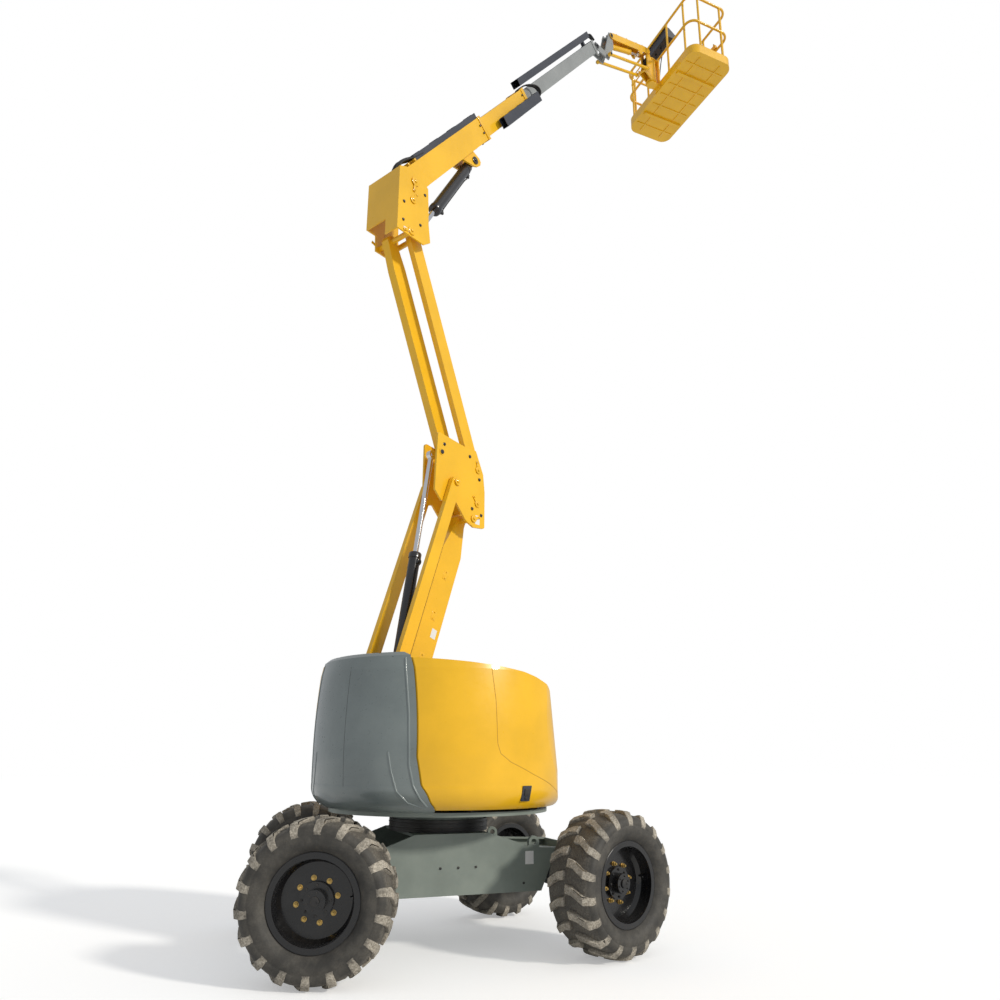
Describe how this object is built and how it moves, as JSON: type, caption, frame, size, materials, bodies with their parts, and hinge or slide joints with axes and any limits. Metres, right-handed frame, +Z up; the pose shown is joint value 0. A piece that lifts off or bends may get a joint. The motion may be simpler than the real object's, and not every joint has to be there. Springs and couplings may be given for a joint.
{
  "type": "articulating boom lift",
  "caption": "Rough-terrain articulating boom lift with a slewing turret, folding riser arms, telescopic boom, jib and work basket.",
  "frame": {"origin": "on the ground under the slewing axis, midway between the axles", "axes": "+X towards the chassis front, +Y to its left, +Z up"},
  "size_m": [6.5074, 4.368, 12.8772],
  "materials": {
    "yellow_paint": "gloss",
    "grey_paint": "gloss",
    "chassis_grey": "satin",
    "boom_grey": "satin",
    "axle_black": "satin",
    "rim_black": "gloss",
    "barrel_black": "gloss",
    "chrome_rod": "polished",
    "black_plastic": "matte",
    "engine_metal": "matte",
    "tyre": "matte"
  },
  "bodies": {
    "chassis": {"chassis_frame": "chassis_grey", "slew_ring": "axle_black", "axle_front": "axle_black", "axle_rear": "axle_black", "steering_cylinders": "axle_black"},
    "hub_front_left": {"knuckle_front_left": "axle_black"},
    "wheel_front_left": {"rim_front_left": "rim_black", "tyre_front_left": "tyre"},
    "hub_front_right": {"knuckle_front_right": "axle_black"},
    "wheel_front_right": {"rim_front_right": "rim_black", "tyre_front_right": "tyre"},
    "tie_front": {"tie_rod_front": "axle_black"},
    "hub_rear_left": {"knuckle_rear_left": "axle_black"},
    "wheel_rear_left": {"rim_rear_left": "rim_black", "tyre_rear_left": "tyre"},
    "hub_rear_right": {"knuckle_rear_right": "axle_black"},
    "wheel_rear_right": {"rim_rear_right": "rim_black", "tyre_rear_right": "tyre"},
    "tie_rear": {"tie_rod_rear": "axle_black"},
    "turret": {"turntable": "chassis_grey", "counterweight": "grey_paint", "engine": "engine_metal", "tanks": "black_plastic"},
    "right_hood": {"hood_right": "yellow_paint"},
    "left_hood": {"hood_left": "yellow_paint"},
    "lower_arm": {"lower_arm": "yellow_paint"},
    "lower_ties": {"lower_ties": "yellow_paint"},
    "knuckle": {"arm_knuckle": "yellow_paint"},
    "upper_arm": {"upper_arm": "yellow_paint"},
    "upper_tie": {"upper_tie": "yellow_paint"},
    "head": {"boom_head": "yellow_paint"},
    "arm_barrel": {"arm_cylinder_barrel": "barrel_black"},
    "arm_rod": {"arm_cylinder_rod": "chrome_rod"},
    "boom": {"boom_outer": "yellow_paint", "hose_cover": "black_plastic"},
    "boom_barrel": {"boom_cylinder_barrel": "barrel_black"},
    "boom_rod": {"boom_cylinder_rod": "chrome_rod"},
    "boom_middle": {"boom_middle": "yellow_paint", "side_tray": "black_plastic"},
    "boom_inner": {"boom_inner": "boom_grey", "top_tray": "black_plastic"},
    "nose": {"nose_bracket": "boom_grey"},
    "jib_arm": {"jib_arm": "yellow_paint"},
    "jib_ties": {"jib_ties": "yellow_paint"},
    "jib_end": {"jib_bracket": "yellow_paint"},
    "jib_barrel": {"jib_cylinder_barrel": "yellow_paint"},
    "jib_rod": {"jib_cylinder_rod": "chrome_rod"},
    "basket": {"basket_mount": "yellow_paint", "basket_rails_left": "yellow_paint", "basket_rails_right": "yellow_paint", "basket_rails_inner": "yellow_paint", "basket_rails_outer": "yellow_paint", "basket_floor": "yellow_paint", "control_box": "black_plastic"}
  },
  "joints": [
    {"name": "steer_front_left", "type": "hinge", "parent": "chassis", "child": "hub_front_left", "pos_m": [0.971, 0.637, 0.51], "axis": [0, 0, 1], "range_deg": [-45.8, 5.2]},
    {"name": "spin_front_left", "type": "hinge", "parent": "hub_front_left", "child": "wheel_front_left", "pos_m": [0.87212, 0.9043, 0.51], "axis": [-0.3469, 0.9379, 0], "continuous": true},
    {"name": "steer_front_right", "type": "hinge", "parent": "chassis", "child": "hub_front_right", "pos_m": [0.971, -0.637, 0.51], "axis": [0, 0, 1], "range_deg": [-45.8, 5.2]},
    {"name": "spin_front_right", "type": "hinge", "parent": "hub_front_right", "child": "wheel_front_right", "pos_m": [1.06988, -0.9043, 0.51], "axis": [-0.3469, 0.9379, 0], "continuous": true},
    {"name": "tie_front_turn", "type": "hinge", "parent": "hub_front_left", "child": "tie_front", "pos_m": [0.7928, 0.57108, 0.51], "axis": [0, 0, 1], "range_deg": [-5.2, 45.8]},
    {"name": "steer_rear_left", "type": "hinge", "parent": "chassis", "child": "hub_rear_left", "pos_m": [-0.971, 0.637, 0.51], "axis": [0, 0, 1], "range_deg": [-4.3, 46.7]},
    {"name": "spin_rear_left", "type": "hinge", "parent": "hub_rear_left", "child": "wheel_rear_left", "pos_m": [-0.86794, 0.90271, 0.51], "axis": [0.3616, 0.9323, 0], "continuous": true},
    {"name": "steer_rear_right", "type": "hinge", "parent": "chassis", "child": "hub_rear_right", "pos_m": [-0.971, -0.637, 0.51], "axis": [0, 0, 1], "range_deg": [-4.3, 46.7]},
    {"name": "spin_rear_right", "type": "hinge", "parent": "hub_rear_right", "child": "wheel_rear_right", "pos_m": [-1.07406, -0.90271, 0.51], "axis": [0.3616, 0.9323, 0], "continuous": true},
    {"name": "tie_rear_turn", "type": "hinge", "parent": "hub_rear_left", "child": "tie_rear", "pos_m": [-0.79386, 0.56829, 0.51], "axis": [0, 0, 1], "range_deg": [-46.7, 4.3]},
    {"name": "slew", "type": "hinge", "parent": "chassis", "child": "turret", "pos_m": [0, 0, 0.985], "axis": [0, 0, 1], "continuous": true},
    {"name": "right_hood_open", "type": "hinge", "parent": "turret", "child": "right_hood", "pos_m": [0.12799, -0.2309, 2.035], "axis": [-0.8746, -0.4848, 0], "range_deg": [0, 60]},
    {"name": "left_hood_open", "type": "hinge", "parent": "turret", "child": "left_hood", "pos_m": [-0.12799, 0.2309, 2.035], "axis": [0.8746, 0.4848, 0], "range_deg": [0, 60]},
    {"name": "arm_raise", "type": "hinge", "parent": "turret", "child": "lower_arm", "pos_m": [-0.51909, -0.28774, 1.204], "axis": [0.4848, -0.8746, 0], "range_deg": [-62.5, 5.5]},
    {"name": "lower_ties_turn", "type": "hinge", "parent": "turret", "child": "lower_ties", "pos_m": [-0.76835, -0.4259, 1.466], "axis": [0.4848, -0.8746, 0], "range_deg": [-62.5, 5.5]},
    {"name": "knuckle_turn", "type": "hinge", "parent": "lower_arm", "child": "knuckle", "pos_m": [0.18803, 0.10422, 3.48708], "axis": [0.4848, -0.8746, 0], "range_deg": [-5.5, 62.5]},
    {"name": "upper_arm_turn", "type": "hinge", "parent": "knuckle", "child": "upper_arm", "pos_m": [0.23176, 0.12846, 3.64008], "axis": [0.4848, -0.8746, 0], "range_deg": [-5.5, 62.5]},
    {"name": "upper_tie_turn", "type": "hinge", "parent": "knuckle", "child": "upper_tie", "pos_m": [0.23613, 0.13089, 3.97008], "axis": [0.4848, -0.8746, 0], "range_deg": [-5.5, 62.5]},
    {"name": "head_turn", "type": "hinge", "parent": "upper_arm", "child": "head", "pos_m": [-0.64888, -0.35968, 5.94473], "axis": [0.4848, -0.8746, 0], "range_deg": [-62.5, 5.5]},
    {"name": "arm_barrel_turn", "type": "hinge", "parent": "turret", "child": "arm_barrel", "pos_m": [-0.55248, -0.3234, 1.45], "axis": [0.4848, -0.8746, 0], "range_deg": [-62.53, 5.96]},
    {"name": "arm_rod_slide", "type": "slide", "parent": "arm_barrel", "child": "arm_rod", "axis": [0.1435, 0.0795, 0.9864], "range_m": [-0.49589, 0.04546]},
    {"name": "boom_lift", "type": "hinge", "parent": "head", "child": "boom", "pos_m": [-0.63226, -0.35047, 6.47773], "axis": [0.4848, -0.8746, 0], "range_deg": [-50, 20]},
    {"name": "boom_barrel_turn", "type": "hinge", "parent": "boom", "child": "boom_barrel", "pos_m": [0.20501, 0.11364, 7.42963], "axis": [0.4848, -0.8746, 0], "range_deg": [-2.95, 6.62]},
    {"name": "boom_rod_slide", "type": "slide", "parent": "boom_barrel", "child": "boom_rod", "axis": [-0.4308, -0.2388, -0.8703], "range_m": [-0.36671, 0.14788]},
    {"name": "telescope", "type": "slide", "parent": "boom", "child": "boom_middle", "axis": [0.5288, 0.2931, 0.7965], "range_m": [-1.15, 0.25]},
    {"name": "telescope_inner", "type": "slide", "parent": "boom_middle", "child": "boom_inner", "axis": [0.5288, 0.2931, 0.7965], "range_m": [-1.15, 0.25]},
    {"name": "nose_level", "type": "hinge", "parent": "boom_inner", "child": "nose", "pos_m": [2.46119, 1.36426, 11.13743], "axis": [0.4848, -0.8746, 0], "range_deg": [-20, 50]},
    {"name": "jib_lift", "type": "hinge", "parent": "nose", "child": "jib_arm", "pos_m": [2.79879, 1.55139, 11.64543], "axis": [0.4848, -0.8746, 0], "range_deg": [-100.6, 29.4]},
    {"name": "jib_ties_turn", "type": "hinge", "parent": "nose", "child": "jib_ties", "pos_m": [2.69821, 1.49564, 11.18743], "axis": [0.4848, -0.8746, 0], "range_deg": [-100.6, 29.4]},
    {"name": "jib_end_turn", "type": "hinge", "parent": "jib_arm", "child": "jib_end", "pos_m": [3.8151, 2.11474, 12.33264], "axis": [0.4848, -0.8746, 0], "range_deg": [-29.4, 100.6]},
    {"name": "jib_barrel_turn", "type": "hinge", "parent": "nose", "child": "jib_barrel", "pos_m": [2.8294, 1.56836, 11.52543], "axis": [0.4848, -0.8746, 0], "range_deg": [-105.42, 31.16]},
    {"name": "jib_rod_slide", "type": "slide", "parent": "jib_barrel", "child": "jib_rod", "axis": [0.7308, 0.4051, 0.5494], "range_m": [-0.18596, 0.05576]},
    {"name": "basket_turn", "type": "hinge", "parent": "jib_end", "child": "basket", "pos_m": [3.95941, 2.19474, 12.33264], "axis": [0, 0, 1], "range_deg": [-64.2, 115.8]}
  ],
  "couplings": [
    {"joint": "steer_front_right", "follows": "steer_front_left", "ratio": 1},
    {"joint": "tie_front_turn", "follows": "steer_front_left", "ratio": -1},
    {"joint": "steer_rear_right", "follows": "steer_rear_left", "ratio": 1},
    {"joint": "tie_rear_turn", "follows": "steer_rear_left", "ratio": -1},
    {"joint": "lower_ties_turn", "follows": "arm_raise", "ratio": 1},
    {"joint": "knuckle_turn", "follows": "arm_raise", "ratio": -1},
    {"joint": "upper_arm_turn", "follows": "arm_raise", "ratio": -1},
    {"joint": "upper_tie_turn", "follows": "arm_raise", "ratio": -1},
    {"joint": "head_turn", "follows": "arm_raise", "ratio": 1},
    {"joint": "arm_barrel_turn", "follows": "arm_raise", "ratio": 0.99252},
    {"joint": "arm_rod_slide", "follows": "arm_raise", "m_per_rad": 0.45276},
    {"joint": "boom_barrel_turn", "follows": "boom_lift", "ratio": -0.12237},
    {"joint": "boom_rod_slide", "follows": "boom_lift", "m_per_rad": 0.41793},
    {"joint": "telescope_inner", "follows": "telescope", "ratio": 1},
    {"joint": "nose_level", "follows": "boom_lift", "ratio": -1},
    {"joint": "jib_ties_turn", "follows": "jib_lift", "ratio": 1},
    {"joint": "jib_end_turn", "follows": "jib_lift", "ratio": -1},
    {"joint": "jib_barrel_turn", "follows": "jib_lift", "ratio": 1.0429},
    {"joint": "jib_rod_slide", "follows": "jib_lift", "m_per_rad": 0.10477}
  ]
}
